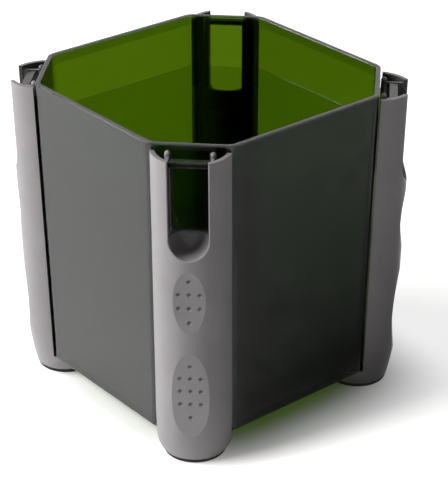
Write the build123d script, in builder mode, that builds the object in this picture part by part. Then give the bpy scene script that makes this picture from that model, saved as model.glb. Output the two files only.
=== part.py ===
"""Open case of a square canister filter: tank, four clip-on corner posts, clamp catch bars, rubber feet.

Millimetres, +Z up. The origin is on the floor, under the middle of the case.
"""

import os
from math import hypot, sqrt

from build123d import *

# Heights, from the floor up
foot_height = 2.6  # rubber pad under each post
base_height = 10.6  # from the pad to the underside of the case
case_height = 180.3  # from the underside of the case to its rim

# Case
case_side = 170.0  # across the sides at the rim
corner_leg = 31.6  # what each corner flat takes off a side
side_draft = 2.9  # how far each side leans in from rim to underside
case_wall = 3.0
ledge_width = 0.4  # step where the wall gets thicker
ledge_drop = 33.0  # ledge below the rim
case_floor = 3.4
recess_margin = 24.0  # plain border round the recess in the underside
recess_depth = 1.0
band_height = 6.5  # thicker band under the rim, along the sides
band_proud = 0.4
edge_round = 8.0  # upright edges
underside_round = 1.5
inside_round = 1.6
rim_round = 0.8
rest_height = 5.0  # ribs on the floor that a media basket stands on
rest_thickness = 2.4
rest_inner = 16.0
rest_outer = 58.0

# Corner posts
post_set_in = 3.1  # axis of a post, inside the case's corner flat
post_wall = 2.4
post_top_drop = 3.3  # top of a post below the rim
shell_gap = 1.0  # between a post's shell and the corner flat
shell_step = 0.6  # edges of the shell inside the edges of the corner flat
base_curve_in = 3.9  # how far the foot of a post curves in
base_curve_height = 10.0  # at its sides
front_curve_height = 33.0  # at its front, where the curve is long and shallow
front_curve_turn = 30.0  # degrees, enough to pass the foot
base_floor = 3.5
boss_radius = 6.0
web_thickness = 1.6
slot_width = 21.4
slot_drop = 59.7  # lowest point of the slot below the rim
scoop_back = 1.2  # plate behind the finger scoop
scoop_land = 1.0  # top of the scoop below the middle of the slot's round end
scoop_flat = 1.7  # flat middle of the scoop's back, either way
scoop_floor = 2.8
lip_round = 0.6

# Ribs and beads that hold a post on the case's rails
rib_step = 0.5  # ribs stand back from the slot's edges
rib_thickness = 1.6
rib_drop = 2.1  # top of the ribs below the top of the post
bead_radius = 1.8
bead_gap = 0.4  # between the beads and the corner flat
bead_rise = 0.7  # top of the beads above the top of the post
rail_thickness = 1.6
rail_lip = 1.5
rail_top_drop = 11.0  # top of the rails below the rim
rail_start = 3.0  # foot of the rails above the underside

# Grips: each is a shallow hollow with rows of dimples
upper_grip_gap = 6.9  # below the slot
upper_grip_height = 38.0
upper_grip_depth = 1.9
upper_grip_rows = (1, 3, 3, 1)
lower_grip_gap = 13.1  # below the upper grip
lower_grip_height = 59.6
lower_grip_depth = 2.7
lower_grip_rows = (1, 3, 3, 3, 1)
lower_rows_rise = 3.7  # middle row above the middle of the lower grip
dimple_width = 2.9
dimple_depth = 0.9
dimple_row_pitch = 8.5
dimple_column_pitch = 5.8

# Catch bars
bar_inset = 5.6  # back of the bar from the corner flat
bar_width = 4.6
bar_flange = 1.0
bar_web = 1.8
bar_web_height = 1.3
bar_lip = 0.8
bar_drop = 0.3  # top of the bar below the top of the ribs
peg_radius = 1.0

# Rubber feet
pad_step = 0.3  # edge of the pad inside the edge of the post's base
pad_round = 0.6
groove_radius = 11.0
groove_width = 3.0
groove_depth = 0.8
stem_radius = 3.0
stem_stop = 2.6  # end of the stem below the underside of the case

# Fits
clearance = 0.3
peg_clearance = 0.15
blend = 0.05  # how far a long curve starts outside the surface that it runs into

base_top = foot_height + base_height
rim = base_top + case_height
post_top = rim - post_top_drop
body_half_side = case_side / 2 - band_proud
flat_slope = sqrt(2) * side_draft / case_height
flat_half_width = corner_leg / sqrt(2)
lower_wall = case_wall + ledge_width
post_radius = hypot(post_set_in + shell_gap, flat_half_width - shell_step)
base_radius = post_radius - base_curve_in
pad_radius = base_radius - pad_step
stem_height = base_height - stem_stop
slot_bottom = rim - slot_drop
slot_centre = slot_bottom + slot_width / 2
scoop_round = slot_width / 2 - scoop_flat
upper_grip_centre = slot_bottom - upper_grip_gap - upper_grip_height / 2
lower_grip_centre = upper_grip_centre - upper_grip_height / 2 - lower_grip_gap - lower_grip_height / 2
rib_spacing = slot_width + 2 * rib_step + rib_thickness
rib_top = post_top - rib_drop
bar_top = rib_top - bar_drop
bar_height = bar_flange + bar_web_height + bar_lip
peg_centre = (bar_inset + bar_width / 2, bar_top - bar_height / 2)
corners = {"front": -45, "right": 45, "rear": 135, "left": 225}


def half_side_at(height):
    """Half the case's side at a height, without the rim's band."""
    return body_half_side - side_draft * (rim - height) / case_height


def flat_distance_at(height):
    """Distance of a corner flat from the case's axis at a height."""
    return (2 * half_side_at(height) - corner_leg) / sqrt(2)


def case_outline(height, grow=0.0, wall=0.0):
    """Octagon of the case at a height, grown at its sides only, or drawn in by a wall all round."""
    side = 2 * (half_side_at(height) + grow - wall)
    with BuildSketch(Plane.XY.offset(height)) as outline:
        Rectangle(side, side)
        chamfer(outline.vertices(), corner_leg + 2 * grow - (2 - sqrt(2)) * wall)
        fillet(outline.vertices(), edge_round)
    return outline.sketch


def corner_frame(angle):
    """Plane at a corner: origin on the corner flat at floor level, X outwards, Z up the leaning flat."""
    out = Vector(1, 0, 0).rotate(Axis.Z, angle)
    up = Vector(0, 0, 1)
    return Plane(out * flat_distance_at(0), x_dir=out - up * flat_slope, z_dir=up + out * flat_slope)


def radial_plane(frame):
    """Plane through a corner's middle: X outwards, Y up."""
    return Plane(frame.origin, x_dir=frame.x_dir, z_dir=-frame.y_dir)


def level_plane(frame, height):
    """Level plane under a post's axis at a height, X outwards."""
    centre = frame.origin + frame.z_dir * ((height - frame.origin.Z) / frame.z_dir.Z)
    out = Vector(frame.x_dir.X, frame.x_dir.Y, 0)
    return Plane(centre, x_dir=out, z_dir=(0, 0, 1))


def post_frame(angle):
    """The corner's plane, moved in to the post's axis."""
    frame = corner_frame(angle)
    return Plane(frame.origin - frame.x_dir * post_set_in, x_dir=frame.x_dir, z_dir=frame.z_dir)


def filter_case():
    """Tank with octagonal walls, a floor, an inner ledge, a rim band and a pair of rails at each corner."""
    with BuildPart() as case:
        loft([case_outline(base_top), case_outline(rim)], ruled=True)
        band_bottom = rim - band_height
        loft([case_outline(band_bottom, grow=band_proud), case_outline(rim, grow=band_proud)], ruled=True)
        fillet(case.edges().group_by(Axis.Z)[0], underside_round)
        extrude(case_outline(base_top, wall=recess_margin), amount=recess_depth, mode=Mode.SUBTRACT)

        inner_floor = base_top + case_floor
        for bottom, wall in ((inner_floor, lower_wall), (rim - ledge_drop, case_wall)):
            hollow = [case_outline(bottom, wall=wall), case_outline(rim, wall=wall)]
            loft(hollow, ruled=True, mode=Mode.SUBTRACT)
        level_faces = case.faces().filter_by(Plane.XY)
        floor_face = level_faces.filter_by_position(Axis.Z, inner_floor - clearance, inner_floor + clearance)
        fillet(floor_face.edges(), inside_round)
        fillet(case.edges().group_by(Axis.Z)[-1], rim_round)

        with BuildSketch(Plane.XY.offset(inner_floor)):
            with PolarLocations((rest_inner + rest_outer) / 2, 4):
                Rectangle(rest_outer - rest_inner, rest_thickness)
        extrude(amount=rest_height)

        for angle in corners.values():
            frame = corner_frame(angle)
            bead_edge = rib_spacing / 2 + bead_radius
            lip_edge = rib_spacing / 2 + rib_thickness / 2 + clearance
            lip_start = bead_gap + 2 * bead_radius + clearance
            web_edge = bead_edge + clearance
            with BuildSketch(frame.offset(base_top + rail_start)):
                with BuildLine():
                    Polyline(
                        (-case_wall / 2, web_edge),
                        (lip_start, web_edge),
                        (lip_start, lip_edge),
                        (lip_start + rail_lip, lip_edge),
                        (lip_start + rail_lip, web_edge + rail_thickness),
                        (-case_wall / 2, web_edge + rail_thickness),
                        close=True,
                    )
                make_face()
                mirror(about=Plane.XZ)
            extrude(amount=case_height - rail_start - rail_top_drop)
    return case


def post_outline(frame, inset, bottom):
    """Half section of a post's outside, or of its hollow when inset: straight, then curving in below."""
    curve_top = foot_height + base_curve_height
    above = rim + post_radius
    with BuildSketch(radial_plane(frame)) as outline:
        with BuildLine():
            Polyline(
                (post_radius - inset, curve_top),
                (post_radius - inset, above),
                (0, above),
                (0, bottom),
                (base_radius - inset, bottom),
            )
            TangentArc((post_radius - inset, curve_top), (base_radius - inset, bottom), tangent=(0, -1))
        make_face()
    return outline.sketch


def post_form(frame, inset, bottom):
    """Solid of a post's outside, or of its hollow when inset, with the long curve at the front of its foot."""
    front_radius = (front_curve_height**2 + base_curve_in**2) / (2 * base_curve_in)
    curve_top = frame.offset(foot_height + front_curve_height)
    curve_middle = curve_top.origin + curve_top.x_dir * (post_radius - front_radius)
    with BuildPart() as bent:
        with BuildSketch(curve_top):
            Circle(post_radius - inset + blend)
        revolve(axis=Axis(curve_middle, curve_top.y_dir), revolution_arc=front_curve_turn)
        with BuildSketch(curve_top):
            Rectangle(4 * post_radius, 4 * post_radius)
        extrude(amount=rim)
    with BuildPart() as form:
        revolve(post_outline(frame, inset, bottom), axis=Axis(frame.origin, frame.z_dir))
        add(bent.part, mode=Mode.INTERSECT)
    return form.part


def grip_radius(height, depth):
    """Radius of the round hollow that is this high and this deep."""
    return (height**2 / 4 + depth**2) / (2 * depth)


def corner_post(angle):
    """Half-round post: shell, base, rail beads, clamp slot, finger scoop and two grips."""
    frame = post_frame(angle)
    radial = radial_plane(frame)
    flat = post_set_in  # the corner flat, seen from the post's axis
    grips = (
        (upper_grip_centre, upper_grip_height, upper_grip_depth, upper_grip_rows, 0),
        (lower_grip_centre, lower_grip_height, lower_grip_depth, lower_grip_rows, lower_rows_rise),
    )
    outside = post_form(frame, 0, foot_height - clearance)
    hollow = post_form(frame, post_wall, foot_height + base_floor)
    with BuildPart() as post:
        add(outside)
        add(hollow, mode=Mode.SUBTRACT)

        # Room for the case: above the base only the outer half of the shell stays
        with BuildSketch(level_plane(frame, base_top)):
            with Locations((flat + shell_gap - 2 * post_radius, 0)):
                Rectangle(4 * post_radius, 4 * post_radius)
        extrude(amount=rim, dir=frame.z_dir, mode=Mode.SUBTRACT)

        # Ribs
        bead_x = flat + bead_gap + bead_radius
        bead_y = rib_spacing / 2
        rib_reach = sqrt((post_radius - post_wall / 2) ** 2 - rib_spacing**2 / 4)
        rib_bottom = foot_height + base_floor / 2
        with BuildSketch(frame.offset(rib_bottom)):
            with GridLocations(0, rib_spacing, 1, 2):
                with Locations(((bead_x + rib_reach) / 2, 0)):
                    Rectangle(rib_reach - bead_x, rib_thickness)
        extrude(amount=rib_top - rib_bottom)

        # Block that carries the finger scoop
        scoop_top = slot_centre - scoop_land
        scoop_bottom = slot_centre - slot_width / 2 - scoop_floor
        scoop_x = flat + clearance
        with BuildSketch(radial):
            with Locations((scoop_x, scoop_bottom)):
                Rectangle(post_radius, scoop_top - scoop_bottom, align=(Align.MIN, Align.MIN))
        extrude(amount=rib_spacing / 2, both=True)

        # Even wall behind the grips
        for centre, height, depth, _, _ in grips:
            radius = grip_radius(height, depth)
            with BuildSketch(radial):
                with Locations((post_radius - depth + radius, centre)):
                    Circle(radius + post_wall)
            extrude(amount=rib_spacing / 2, both=True)

        # Boss for the foot's stem, and webs that stiffen the base
        with BuildSketch(level_plane(frame, base_top)):
            Circle(boss_radius)
            Rectangle(2 * post_radius, web_thickness)
            Rectangle(web_thickness, 2 * post_radius)
        extrude(amount=foot_height + base_floor / 2 - base_top)

        add(outside, mode=Mode.INTERSECT)

        # Clamp slot with a round lower end, scooped out behind for a finger
        scoop_reach = 2 * post_radius
        half_slot = slot_width / 2
        scoop_start = scoop_x + scoop_back
        with BuildSketch(frame.offset(slot_centre)):
            with BuildLine():
                Line((scoop_start, 0), (scoop_start, half_slot - scoop_round))
                TangentArc(
                    (scoop_start, half_slot - scoop_round),
                    (scoop_start + scoop_round, half_slot),
                    tangent=(0, 1),
                )
                Polyline((scoop_start + scoop_round, half_slot), (scoop_reach, half_slot), (scoop_reach, 0))
                Line((scoop_reach, 0), (scoop_start, 0))
            make_face()
        revolve(axis=Axis(frame.offset(slot_centre).origin, frame.x_dir), mode=Mode.SUBTRACT)
        with BuildSketch(frame.offset(slot_centre)):
            with Locations((flat, 0)):
                Rectangle(scoop_reach, slot_width, align=(Align.MIN, Align.CENTER))
        extrude(amount=slot_drop, mode=Mode.SUBTRACT)

        # Grips
        for centre, height, depth, rows, rows_rise in grips:
            radius = grip_radius(height, depth)
            with BuildSketch(radial):
                with Locations((post_radius - depth + radius, centre)):
                    Circle(radius)
            extrude(amount=rib_spacing, both=True, mode=Mode.SUBTRACT)
            ball_radius = (dimple_width**2 / 4 + dimple_depth**2) / (2 * dimple_depth)
            dimples = []
            for row, count in enumerate(rows):
                rise = rows_rise + (row - (len(rows) - 1) / 2) * dimple_row_pitch
                surface = post_radius - depth + radius - sqrt(radius**2 - rise**2)
                for column in range(count):
                    across = (column - (count - 1) / 2) * dimple_column_pitch
                    middle = (surface - dimple_depth + ball_radius, across, centre + rise)
                    dimples.append(frame.from_local_coords(middle))
            with Locations(*dimples):
                Sphere(ball_radius, mode=Mode.SUBTRACT)

        # Holes for the catch bar's pegs
        with BuildSketch(radial):
            with Locations((flat + peg_centre[0], peg_centre[1])):
                Circle(peg_radius + peg_clearance)
        extrude(amount=rib_spacing / 2 + rib_thickness, both=True, mode=Mode.SUBTRACT)

        # Hole for the foot's stem
        with BuildSketch(level_plane(frame, 0)):
            Circle(stem_radius + peg_clearance)
        extrude(amount=foot_height + stem_height + clearance, mode=Mode.SUBTRACT)

        split(bisect_by=Plane.XY.offset(foot_height), keep=Keep.TOP)
        split(bisect_by=Plane.XY.offset(post_top), keep=Keep.BOTTOM)

        # Beads along the ribs' inner edges, with round tips
        bead_bottom = base_top + clearance
        bead_tip = post_top + bead_rise - bead_radius
        with BuildSketch(frame.offset(bead_bottom)):
            with GridLocations(0, rib_spacing, 1, 2):
                with Locations((bead_x, 0)):
                    Circle(bead_radius)
        extrude(amount=bead_tip - bead_bottom)
        with Locations(*(frame.from_local_coords((bead_x, side, bead_tip)) for side in (-bead_y, bead_y))):
            Sphere(bead_radius)

        # Rounded lip round the slot
        lip = []
        for edge in post.edges():
            spot = frame.to_local_coords(edge @ 0.5)
            on_outside = abs(hypot(spot.X, spot.Y) - post_radius) < clearance / 10
            in_slot = spot.X > 0 and abs(spot.Y) < half_slot + clearance and spot.Z > slot_bottom - clearance
            if on_outside and in_slot:
                lip.append(edge)
        fillet(lip, lip_round)
    return post


def catch_bar(angle):
    """Bar across the top of a post, between its ribs, with a peg at each end."""
    frame = corner_frame(angle)
    radial = radial_plane(frame)
    half_length = (rib_spacing - rib_thickness) / 2 - clearance
    bar_front = bar_inset + bar_width
    flange_bottom = bar_top - bar_flange
    web_start = bar_inset + (bar_width - bar_web) / 2
    lip_bottom = bar_top - bar_height
    with BuildPart() as bar:
        with BuildSketch(radial):
            with BuildLine():
                Polyline(
                    (bar_inset, bar_top),
                    (bar_front, bar_top),
                    (bar_front, flange_bottom),
                    (web_start + bar_web, flange_bottom),
                    (web_start + bar_web, lip_bottom + bar_lip),
                    (bar_front, lip_bottom + bar_lip),
                    (bar_front, lip_bottom),
                    (web_start, lip_bottom),
                    (web_start, flange_bottom),
                    (bar_inset, flange_bottom),
                    close=True,
                )
            make_face()
        extrude(amount=half_length, both=True)
        with BuildSketch(radial):
            with Locations(peg_centre):
                Circle(peg_radius)
        extrude(amount=(rib_spacing + rib_thickness) / 2, both=True)
    return bar


def rubber_foot(angle):
    """Round pad with a groove underneath and a stem that pushes into the post's base."""
    frame = post_frame(angle)
    with BuildPart() as foot:
        with BuildSketch(level_plane(frame, 0)):
            Circle(pad_radius)
        extrude(amount=foot_height)
        fillet(foot.edges().group_by(Axis.Z)[0], pad_round)
        with BuildSketch(level_plane(frame, 0)):
            Circle(groove_radius)
            Circle(groove_radius - groove_width, mode=Mode.SUBTRACT)
        extrude(amount=groove_depth, mode=Mode.SUBTRACT)
        with BuildSketch(level_plane(frame, 0)):
            Circle(stem_radius)
        extrude(amount=foot_height + stem_height)
        chamfer(foot.edges().group_by(Axis.Z)[-1], stem_radius / 4)
    return foot


os.makedirs("parts", exist_ok=True)
case = filter_case()
case.part.label = "filter_case"
export_step(case.part, "parts/filter_case.step")
for corner, angle in corners.items():
    for kind, make in (("corner_post", corner_post), ("catch_bar", catch_bar), ("rubber_foot", rubber_foot)):
        piece = make(angle)
        piece.part.label = f"{kind}_{corner}"
        export_step(piece.part, f"parts/{kind}_{corner}.step")
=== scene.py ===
import math
import bpy
from mathutils import Matrix, Vector


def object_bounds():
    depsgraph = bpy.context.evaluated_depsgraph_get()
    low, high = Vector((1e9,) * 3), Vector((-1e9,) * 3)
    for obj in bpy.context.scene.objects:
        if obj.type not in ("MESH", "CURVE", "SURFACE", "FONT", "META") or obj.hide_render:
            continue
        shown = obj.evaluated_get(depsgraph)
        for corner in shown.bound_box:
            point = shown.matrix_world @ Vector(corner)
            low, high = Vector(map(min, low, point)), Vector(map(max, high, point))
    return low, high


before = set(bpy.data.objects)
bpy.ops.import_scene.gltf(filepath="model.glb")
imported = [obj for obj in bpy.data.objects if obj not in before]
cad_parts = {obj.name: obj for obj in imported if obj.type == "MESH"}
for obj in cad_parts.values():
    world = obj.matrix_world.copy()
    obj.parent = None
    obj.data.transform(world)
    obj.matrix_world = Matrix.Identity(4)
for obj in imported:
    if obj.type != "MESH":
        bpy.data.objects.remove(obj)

cadBox = [list(corner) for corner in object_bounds()]
floorLevel = cadBox[0][2]
cornerNames = ("front", "right", "rear", "left")
mm = 0.001
print("frame loaded, nodes:", len(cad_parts))


def linear(code):
    # "#8a888a" as sRGB to linear, with an alpha of 1
    channels = [int(code[i:i + 2], 16) / 255 for i in (1, 3, 5)]
    return [c / 12.92 if c <= 0.04045 else ((c + 0.055) / 1.055) ** 2.4 for c in channels] + [1.0]


def addNode(tree, kind, inputs=(), **settings):
    # inputs are a list in order or a dictionary by name, and each is a value, a socket or
    # a whole node, which gives its first enabled output
    node = tree.nodes.new(kind)
    for name, value in settings.items():
        setattr(node, name, value)
    sockets = [socket for socket in node.inputs if socket.enabled]
    if isinstance(inputs, dict):
        names = [socket.name for socket in sockets]
        sockets = [sockets[names.index(name)] for name in inputs]
        inputs = inputs.values()
    for socket, value in zip(sockets, inputs):
        if isinstance(value, bpy.types.Node):
            value = next(output for output in value.outputs if output.enabled)
        if isinstance(value, bpy.types.NodeSocket):
            tree.links.new(value, socket)
        else:
            socket.default_value = value
    return node


def emptyMaterial(name):
    material = bpy.data.materials.new(name)
    material.use_nodes = True
    material.node_tree.nodes.clear()
    return material


def noiseOn(tree, size, detail, toMin=0.0, toMax=1.0):
    # noise on object coordinates whose blotches are about size metres, mapped to a range
    low, high = 0.3, 0.7        # most of the noise lies between these
    place = addNode(tree, "ShaderNodeTexCoord")
    noise = addNode(tree, "ShaderNodeTexNoise",
                    {"Vector": place.outputs["Object"], "Scale": 1 / size, "Detail": detail})
    return addNode(tree, "ShaderNodeMapRange",
                   {"Value": noise, "From Min": low, "From Max": high, "To Min": toMin, "To Max": toMax})


smokedSanValues = {
    "passes": "#4b650a",      # colour of white light through one wall
    "wall": 3.0 * mm,         # wall that colour is for
    "surface": "#f4f8ec",
    "ior": 1.57,              # styrene acrylonitrile
    "roughLow": 0.08,
    "roughHigh": 0.18,
    "roughPatches": 18 * mm,
    "rippleSize": 40 * mm,    # sink and flow ripples of a big flat moulding
    "rippleDepth": 0.10 * mm,
    "rippleStrength": 0.5,
    "grainSize": 1.2 * mm,    # real moulded grain is 0.1 mm, too fine to show
    "grainDepth": 0.004 * mm,
}


def smokedSan():
    # SAN, injection moulded in a polished tool: glossy, deep green, clear enough to see light through
    v = smokedSanValues
    material = emptyMaterial("greenSmokedSan")
    tree = material.node_tree
    roughness = noiseOn(tree, v["roughPatches"], detail=4, toMin=v["roughLow"], toMax=v["roughHigh"])
    ripple = addNode(tree, "ShaderNodeBump",
                     {"Height": noiseOn(tree, v["rippleSize"], detail=1), "Strength": v["rippleStrength"],
                      "Distance": v["rippleDepth"]})
    grain = addNode(tree, "ShaderNodeBump",
                    {"Height": noiseOn(tree, v["grainSize"], detail=3), "Strength": 1.0,
                     "Distance": v["grainDepth"], "Normal": ripple})
    shader = addNode(tree, "ShaderNodeBsdfPrincipled",
                     {"Base Color": linear(v["surface"]), "Roughness": roughness, "IOR": v["ior"],
                      "Transmission Weight": 1.0, "Normal": grain})

    # what a wall takes from each channel, as an absorption colour and a density
    leastPass = 0.0005        # keeps the logarithm of a black channel finite
    margin = 1.05             # density over the most that a channel takes, so no colour falls to 0
    passes = [max(c, leastPass) for c in linear(v["passes"])[:3]]
    takes = [-math.log(c) / v["wall"] for c in passes]      # absorbed per metre
    density = max(takes) * margin
    absorb = addNode(tree, "ShaderNodeVolumeAbsorption",
                     {"Color": [1 - t / density for t in takes] + [1.0], "Density": density})
    addNode(tree, "ShaderNodeOutputMaterial", {"Surface": shader, "Volume": absorb})
    return material


# painted shade: the posts are darkened towards this colour where shade falls in their recesses and
# dimples
paintedShadeValues = {
    "colour": "#1f201c",
    "patches": 5 * mm,
    "thinnest": 0.85,         # of the painted shade, in its paler patches
    "slotFoot": 146 * mm,     # the scoop is below this height, the open slot above it
    "axisOut": 89.7 * mm,     # a post's axis from the middle of the case, at the floor
    "axisLean": 0.0228,       # further out for each unit of height
    "shadeStartRadius": 15 * mm,   # the scoop's painted shade starts here and deepens towards the axis
    "darkRadius": 6 * mm,
    "shadeStartFacing": 0.1,       # how far a face in the slot looks outwards, 1 for straight out; painted shade starts at this facing
    "darkFacing": -0.2,
    "postRadius": 22.13 * mm,
    "grips": (                # the hollow, and the rows of dimples in it
        {"middle": 107.9 * mm, "height": 38.0 * mm, "depth": 1.9 * mm,
         "rowsMiddle": 107.9 * mm, "rowsReach": 14.4 * mm},
        {"middle": 46.0 * mm, "height": 59.6 * mm, "depth": 2.7 * mm,
         "rowsMiddle": 49.7 * mm, "rowsReach": 18.6 * mm},
    ),
    "dimpleReach": 7.4 * mm,  # to each side of the post's middle
    "dimpleShadeStart": 0.1 * mm,  # depths in a dimple, where its painted shade starts and where it is fullest
    "dimpleDark": 0.8 * mm,
    "dimpleShade": 0.65,
}


def dimpleMask(tree, out, across, rise):
    # painted shade in the deep parts of the dimples: what lies behind the round hollow of a grip
    v = paintedShadeValues
    section = addNode(tree, "ShaderNodeCombineXYZ", {"X": out, "Z": rise})
    deepest = 0.0
    for grip in v["grips"]:
        # the radius of an arc as tall and as deep as the grip
        hollowRadius = (grip["height"] ** 2 / 4 + grip["depth"] ** 2) / (2 * grip["depth"])
        hollowAxis = (v["postRadius"] - grip["depth"] + hollowRadius, 0, grip["middle"])
        away = addNode(tree, "ShaderNodeVectorMath", [section, hollowAxis], operation="DISTANCE")
        behind = addNode(tree, "ShaderNodeMath", [away, hollowRadius], operation="SUBTRACT")
        inRows = addNode(tree, "ShaderNodeMath", [rise, grip["rowsMiddle"], grip["rowsReach"]],
                         operation="COMPARE")
        depth = addNode(tree, "ShaderNodeMath", [behind, inRows], operation="MULTIPLY")
        deepest = addNode(tree, "ShaderNodeMath", [depth, deepest], operation="MAXIMUM")
    dark = addNode(tree, "ShaderNodeMapRange",
                   {"Value": deepest, "From Min": v["dimpleShadeStart"], "From Max": v["dimpleDark"],
                    "To Max": v["dimpleShade"]}, interpolation_type="SMOOTHSTEP")
    inColumns = addNode(tree, "ShaderNodeMath", [across, 0.0, v["dimpleReach"]], operation="COMPARE")
    return addNode(tree, "ShaderNodeMath", [dark, inColumns], operation="MULTIPLY")


def paintedShadeMask(tree):
    # painted shade where shade falls: the dimples, the back of the scoop, and above it the faces that
    # look inwards
    v = paintedShadeValues
    place = addNode(tree, "ShaderNodeTexCoord")

    # each corner folded onto the one at +X +Y, then turned to run out along X and across along Y
    spot, facing = place.outputs["Object"], place.outputs["Normal"]
    quarter = addNode(tree, "ShaderNodeVectorMath", [spot], operation="SIGN")
    foldedSpot = addNode(tree, "ShaderNodeVectorMath", [spot, quarter], operation="MULTIPLY")
    foldedFacing = addNode(tree, "ShaderNodeVectorMath", [facing, quarter], operation="MULTIPLY")
    turn = (0, 0, -math.pi / 4)
    local = addNode(tree, "ShaderNodeMapping",
                    {"Vector": foldedSpot, "Location": (-v["axisOut"], 0, 0), "Rotation": turn})
    localFacing = addNode(tree, "ShaderNodeMapping", {"Vector": foldedFacing, "Rotation": turn},
                          vector_type="VECTOR")

    # the post leans, so the ways out from its axis and up along it each mix X and Z
    lean = v["axisLean"]
    out = addNode(tree, "ShaderNodeVectorMath", [local, (1, 0, -lean)], operation="DOT_PRODUCT")
    rise = addNode(tree, "ShaderNodeVectorMath", [local, (lean, 0, 1 - lean ** 2)],
                   operation="DOT_PRODUCT")
    split = addNode(tree, "ShaderNodeSeparateXYZ", [local])
    across, height = split.outputs["Y"], split.outputs["Z"]
    fromAxis = addNode(tree, "ShaderNodeCombineXYZ", {"X": out, "Y": across})

    radius = addNode(tree, "ShaderNodeVectorMath", [fromAxis], operation="LENGTH")
    deep = addNode(tree, "ShaderNodeMapRange",
                   {"Value": radius, "From Min": v["shadeStartRadius"], "From Max": v["darkRadius"]},
                   interpolation_type="SMOOTHSTEP")
    straightOut = addNode(tree, "ShaderNodeVectorMath", [fromAxis], operation="NORMALIZE")
    outward = addNode(tree, "ShaderNodeVectorMath", [localFacing, straightOut], operation="DOT_PRODUCT")
    inward = addNode(tree, "ShaderNodeMapRange",
                     {"Value": outward, "From Min": v["shadeStartFacing"], "From Max": v["darkFacing"]})
    above = addNode(tree, "ShaderNodeMath", [height, v["slotFoot"]], operation="GREATER_THAN")
    recess = addNode(tree, "ShaderNodeMix", {"Factor": above, "A": deep, "B": inward}, data_type="FLOAT")
    patches = noiseOn(tree, v["patches"], detail=3, toMin=v["thinnest"])
    patchy = addNode(tree, "ShaderNodeMath", [recess, patches], operation="MULTIPLY")
    dimples = dimpleMask(tree, out, across, rise)
    return addNode(tree, "ShaderNodeMath", [patchy, dimples], operation="MAXIMUM")


satinAbsValues = {
    "colour": "#a39fa1",
    "colourDark": "#9a9698",
    "colourPatches": 25 * mm,
    "ior": 1.54,
    "roughLow": 0.40,
    "roughHigh": 0.50,
    "roughPatches": 9 * mm,
    "textureSize": 0.9 * mm,  # spark-eroded texture, drawn a little coarser than the real 0.3 mm
    "textureDepth": 0.010 * mm,
}


def satinAbs():
    # ABS moulded in a spark-eroded tool: even grey, soft highlight, with painted shade in its dimples,
    # scoop and inward faces
    v = satinAbsValues
    material = emptyMaterial("greySatinAbs")
    tree = material.node_tree
    ownColour = addNode(tree, "ShaderNodeMix",
                    {"Factor": noiseOn(tree, v["colourPatches"], detail=3),
                     "A": linear(v["colour"]), "B": linear(v["colourDark"])}, data_type="RGBA")
    # painted shade darkens the grey in the dimples, the scoop and the slot's inward faces
    shadedColour = addNode(tree, "ShaderNodeMix",
                    {"Factor": paintedShadeMask(tree), "A": ownColour, "B": linear(paintedShadeValues["colour"])},
                    data_type="RGBA")
    roughness = noiseOn(tree, v["roughPatches"], detail=4, toMin=v["roughLow"], toMax=v["roughHigh"])
    texture = addNode(tree, "ShaderNodeBump",
                      {"Height": noiseOn(tree, v["textureSize"], detail=3), "Strength": 1.0,
                       "Distance": v["textureDepth"]})
    shader = addNode(tree, "ShaderNodeBsdfPrincipled",
                     {"Base Color": shadedColour, "Roughness": roughness, "IOR": v["ior"], "Normal": texture})
    addNode(tree, "ShaderNodeOutputMaterial", {"Surface": shader})
    return material


darkSanValues = {
    "colour": "#1c2017",
    "colourPale": "#262a20",
    "colourPatches": 6 * mm,
    "ior": 1.57,
    "roughLow": 0.16,
    "roughHigh": 0.30,
    "roughPatches": 4 * mm,
}


def darkSan():
    # the same resin as the case but thick, so it reads as near black with a green cast
    v = darkSanValues
    material = emptyMaterial("darkGreenSanBar")
    tree = material.node_tree
    colour = addNode(tree, "ShaderNodeMix",
                     {"Factor": noiseOn(tree, v["colourPatches"], detail=3),
                      "A": linear(v["colour"]), "B": linear(v["colourPale"])}, data_type="RGBA")
    roughness = noiseOn(tree, v["roughPatches"], detail=4, toMin=v["roughLow"], toMax=v["roughHigh"])
    shader = addNode(tree, "ShaderNodeBsdfPrincipled",
                     {"Base Color": colour, "Roughness": roughness, "IOR": v["ior"]})
    addNode(tree, "ShaderNodeOutputMaterial", {"Surface": shader})
    return material


footRubberValues = {
    "colour": "#171516",
    "colourDusty": "#242122",
    "dustPatches": 3 * mm,
    "ior": 1.52,
    "roughness": 0.8,
    "grainSize": 0.7 * mm,
    "grainDepth": 0.03 * mm,
}


def footRubber():
    # black nitrile rubber: matt, dusty on top of a fine grain
    v = footRubberValues
    material = emptyMaterial("blackNitrileRubber")
    tree = material.node_tree
    colour = addNode(tree, "ShaderNodeMix",
                     {"Factor": noiseOn(tree, v["dustPatches"], detail=5),
                      "A": linear(v["colour"]), "B": linear(v["colourDusty"])}, data_type="RGBA")
    grain = addNode(tree, "ShaderNodeBump",
                    {"Height": noiseOn(tree, v["grainSize"], detail=4), "Strength": 1.0,
                     "Distance": v["grainDepth"]})
    shader = addNode(tree, "ShaderNodeBsdfPrincipled",
                     {"Base Color": colour, "Roughness": v["roughness"], "IOR": v["ior"],
                      "Normal": grain})
    addNode(tree, "ShaderNodeOutputMaterial", {"Surface": shader})
    return material


def dress(nodeName, material):
    # the carried-over solid keeps its mesh and takes the finish
    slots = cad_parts[nodeName].data.materials
    slots.clear()
    slots.append(material)


dress("filter_case", smokedSan())
postFinish, barFinish, rubberFinish = satinAbs(), darkSan(), footRubber()
for corner in cornerNames:
    dress("corner_post_" + corner, postFinish)
    dress("catch_bar_" + corner, barFinish)
    dress("rubber_foot_" + corner, rubberFinish)
print("materials on the frame")


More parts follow.
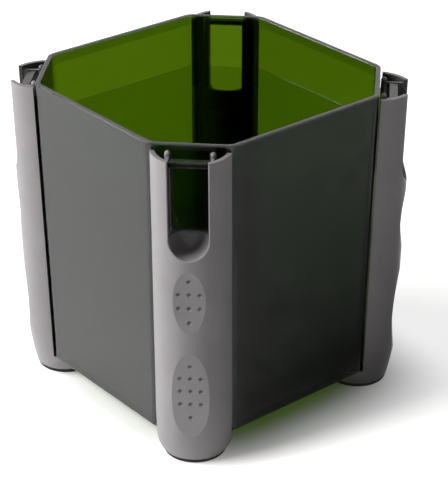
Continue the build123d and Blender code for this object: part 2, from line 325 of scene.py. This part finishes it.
def seenRays(tree):
    # 1 for rays that show the surroundings: straight to the camera, in a reflection or through the case
    rays = addNode(tree, "ShaderNodeLightPath")
    seen = rays.outputs["Is Camera Ray"]
    for kind in ("Is Glossy Ray", "Is Transmission Ray"):
        seen = addNode(tree, "ShaderNodeMath", [seen, rays.outputs[kind]], operation="MAXIMUM")
    return seen


def flatSheet(name, middle, size, level, material):
    x, y = middle
    halfX, halfY = size[0] / 2, size[1] / 2
    mesh = bpy.data.meshes.new(name)
    mesh.from_pydata([(x - halfX, y - halfY, level), (x + halfX, y - halfY, level),
                      (x + halfX, y + halfY, level), (x - halfX, y + halfY, level)], [], [(0, 1, 2, 3)])
    mesh.materials.append(material)
    sheet = bpy.data.objects.new(name, mesh)
    bpy.context.scene.collection.objects.link(sheet)
    return sheet


floorValues = {
    "size": (8.0, 8.0),
    "colour": "#f4f3f2",
    "glowMiddle": (0.0095, 0.0034),
    "glowFrom": 56 * mm,     # painted light: the paper glows from here outwards for the camera, in reflections and through the case, but lights nothing
    "glowBy": 124.5 * mm,
    "glowMost": 0.81,
}


def whitePaper():
    v = floorValues
    material = emptyMaterial("whitePaper")
    tree = material.node_tree
    place = addNode(tree, "ShaderNodeTexCoord")

    # how far out, in rounded squares like the case: the fourth root of x^4 + y^4
    middle = (*v["glowMiddle"], floorLevel)
    away = addNode(tree, "ShaderNodeVectorMath", [place.outputs["Object"], middle], operation="SUBTRACT")
    squares = addNode(tree, "ShaderNodeVectorMath", [away, away], operation="MULTIPLY")
    length = addNode(tree, "ShaderNodeVectorMath", [squares], operation="LENGTH")
    outwards = addNode(tree, "ShaderNodeMath", [length], operation="SQRT")

    # painted light: the floor glows more further out, so its shadow fades to white away from the object
    glowAmount = addNode(tree, "ShaderNodeMapRange",
                    {"Value": outwards, "From Min": v["glowFrom"], "From Max": v["glowBy"],
                     "To Max": v["glowMost"]}, interpolation_type="SMOOTHSTEP")
    lift = addNode(tree, "ShaderNodeMath", [seenRays(tree), glowAmount], operation="MULTIPLY")
    diffuse = addNode(tree, "ShaderNodeBsdfDiffuse", {"Color": linear(v["colour"])})
    glow = addNode(tree, "ShaderNodeEmission", {"Strength": lift})
    both = addNode(tree, "ShaderNodeAddShader", [diffuse, glow])
    addNode(tree, "ShaderNodeOutputMaterial", {"Surface": both})
    return material


def makeFloor():
    floor = flatSheet("floor", (0, 0), floorValues["size"], floorLevel, whitePaper())


cardLift = 1 * mm        # above the floor
cardValues = {
    "blackCard": {"middle": (0.28, -0.32), "size": (0.30, 0.30), "colour": "#0c0c0c", "softEdge": 0.25},
    "paperCard": {"middle": (0.325, 0.19), "size": (0.55, 0.72), "colour": "#f4f3f2", "softEdge": 0.12},
}


def cardMaterial(name, colour, softEdge):
    # matt card that thins out towards its edges, so its reflection has no hard border
    material = emptyMaterial(name)
    tree = material.node_tree
    place = addNode(tree, "ShaderNodeTexCoord")
    spot = addNode(tree, "ShaderNodeSeparateXYZ", [place.outputs["Generated"]])
    middle = 0.5              # a card runs from 0 to 1 each way
    inside = 1.0
    for axis in ("X", "Y"):
        fromEdge = addNode(tree, "ShaderNodeMath", [spot.outputs[axis], middle], operation="PINGPONG")
        fade = addNode(tree, "ShaderNodeMapRange", {"Value": fromEdge, "From Max": softEdge},
                       interpolation_type="SMOOTHSTEP")
        inside = addNode(tree, "ShaderNodeMath", [fade, inside], operation="MULTIPLY")
    clear = addNode(tree, "ShaderNodeBsdfTransparent")
    matt = addNode(tree, "ShaderNodeBsdfDiffuse", {"Color": linear(colour)})
    mixed = addNode(tree, "ShaderNodeMixShader", [inside, clear, matt])
    addNode(tree, "ShaderNodeOutputMaterial", {"Surface": mixed})
    return material


def makeCards():
    # flat on the floor and unseen by the camera, to show in the walls: black before the front corner,
    # plain paper at the right
    for name, v in cardValues.items():
        material = cardMaterial(name, v["colour"], v["softEdge"])
        card = flatSheet(name, v["middle"], v["size"], floorLevel + cardLift, material)
        card.visible_camera = False
        card.visible_shadow = False
        card.visible_transmission = False


worldValues = {
    "ambient": 0.04,          # brightness as a light
    "seen": 1.0,              # and as a background, in reflections and through the case too
}


def makeWorld():
    v = worldValues
    world = bpy.data.worlds.new("studio")
    world.use_nodes = True
    tree = world.node_tree
    tree.nodes.clear()
    strength = addNode(tree, "ShaderNodeMapRange",
                       {"Value": seenRays(tree), "To Min": v["ambient"], "To Max": v["seen"]})
    background = addNode(tree, "ShaderNodeBackground", {"Color": (1, 1, 1, 1), "Strength": strength})
    addNode(tree, "ShaderNodeOutputWorld", {"Surface": background})
    bpy.context.scene.world = world


def direction(around, above):
    # from degrees round, +X towards +Y, and degrees up from the floor
    around, above = math.radians(around), math.radians(above)
    return Vector((math.cos(around) * math.cos(above), math.sin(around) * math.cos(above),
                   math.sin(above)))


def squareLamp(name, size, power):
    light = bpy.data.lights.new(name, "AREA")
    light.shape = "SQUARE"
    light.size = size
    light.energy = power
    lamp = bpy.data.objects.new(name, light)
    bpy.context.scene.collection.objects.link(lamp)
    return lamp


lampValues = {
    "keySoftbox": {"around": 222, "above": 35, "away": 2.6, "size": 1.0, "power": 40.0},
    "sideSoftbox": {"around": 250, "above": 40, "away": 2.6, "size": 1.0, "power": 35.0},
}


def makeLamps():
    for name, v in lampValues.items():
        softbox = squareLamp(name, v["size"], v["power"])
        towards = direction(v["around"], v["above"])
        softbox.location = towards * v["away"]
        softbox.rotation_mode = "QUATERNION"
        softbox.rotation_quaternion = (-towards).to_track_quat("-Z", "Y")


underLightValues = {
    "colour": (0.5, 1.0, 0.05),
    "size": 0.15,
    "level": 12.5 * mm,       # just under the case
    "power": 0.005,
}


def makeUnderLight():
    # the daylight that a real green base lets through to the floor, which a renderer's shadows leave out
    v = underLightValues
    glow = squareLamp("greenUnderLight", v["size"], v["power"])
    glow.data.color = v["colour"]
    glow.location = (0, 0, floorLevel + v["level"])
    glow.visible_camera = False
    glow.visible_glossy = False
    glow.visible_transmission = False


cameraValues = {
    "around": -39.59,
    "above": 27.78,
    "away": 1.0879,           # from the aim
    "aim": (0.0051, 0.0064, 0.0811),
    "roll": -0.061,           # degrees
    "lens": 131.40,
    "sensorWidth": 36.0,
    "clipStart": 0.05,
}


def makeCamera():
    v = cameraValues
    data = bpy.data.cameras.new("camera")
    data.lens = v["lens"]
    data.sensor_width = v["sensorWidth"]
    data.clip_start = v["clipStart"]
    camera = bpy.data.objects.new("camera", data)
    bpy.context.scene.collection.objects.link(camera)
    back = direction(v["around"], v["above"])
    look = (-back).to_track_quat("-Z", "Y").to_matrix() @ Matrix.Rotation(math.radians(v["roll"]), 3, "Z")
    camera.location = Vector(v["aim"]) + back * v["away"]
    camera.rotation_mode = "QUATERNION"
    camera.rotation_quaternion = look.to_quaternion()
    bpy.context.scene.camera = camera


makeFloor()
makeCards()
makeWorld()
makeLamps()
makeUnderLight()
makeCamera()
bpy.context.scene.view_settings.view_transform = "Standard"
print("stage, lamps and camera made")
